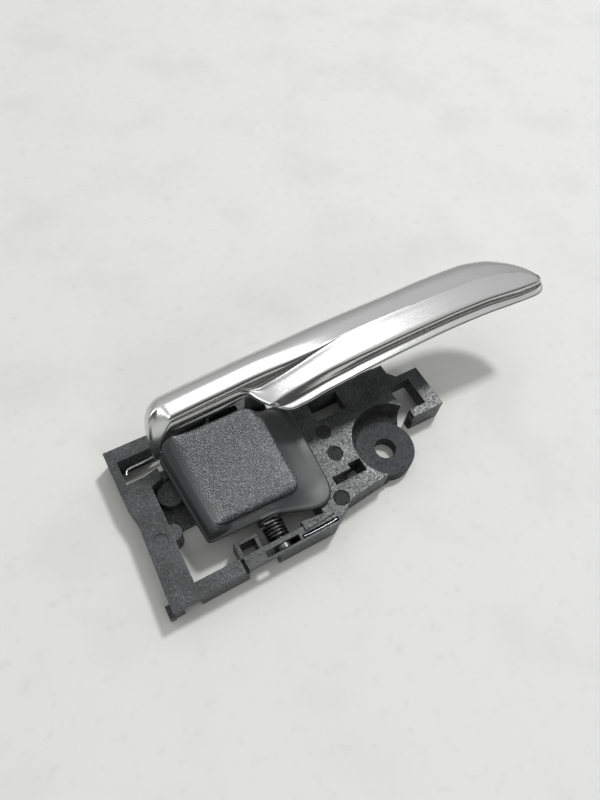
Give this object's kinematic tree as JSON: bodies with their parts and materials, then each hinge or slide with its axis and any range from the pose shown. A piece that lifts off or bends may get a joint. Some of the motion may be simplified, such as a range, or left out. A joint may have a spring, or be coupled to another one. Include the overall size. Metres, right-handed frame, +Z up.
{
  "type": "car door inner handle",
  "caption": "Inner door handle module: a moulded frame with a screw boss and locating loop carries a pull lever and a rocking lock knob on one pivot pin.",
  "frame": {"origin": "middle of the bounding box, in the plane of the frame's underside", "axes": "+Z up off the surface that the frame lies on, +X towards the free tip of the lever, +Y towards the lever's side"},
  "size_m": [0.1756, 0.0614, 0.0405],
  "materials": {
    "moulded_plastic": "glass-filled, fine grain",
    "silver_skin": "satin silver",
    "smooth_black": "satin",
    "grained_black": "leather grain",
    "steel": "drawn",
    "rubber": "matte",
    "acetal": "smooth"
  },
  "bodies": {
    "frame": {"base_frame": "moulded_plastic", "pivot_pin": "steel", "pin_clip": "steel", "wave_washer": "steel", "lever_spring": "steel", "lock_spring": "steel", "lock_detent": "steel", "lever_bumper": "rubber", "lock_bumper": "rubber"},
    "lever": {"lever_core": "moulded_plastic", "lever_skin": "silver_skin", "grip_backing": "smooth_black", "grip_screw_inner": "steel", "grip_screw_outer": "steel", "lever_bush_front": "acetal", "lever_bush_rear": "acetal"},
    "lock": {"lock_body": "smooth_black", "lock_face": "grained_black", "lock_bush_front": "acetal", "lock_bush_rear": "acetal"}
  },
  "joints": [
    {"name": "lever_hinge", "type": "hinge", "parent": "frame", "child": "lever", "pos_m": [-0.0454, 0.0202, 0.0075], "axis": [0, -1, 0], "range_deg": [0, 25], "stiffness_Nm_per_rad": 1, "springref_deg": -34.38, "deforming": ["lever_spring"]},
    {"name": "lock_hinge", "type": "hinge", "parent": "frame", "child": "lock", "pos_m": [-0.0454, -0.0028, 0.0075], "axis": [0, -1, 0], "range_deg": [0, 10], "deforming": ["lock_spring"]}
  ]
}
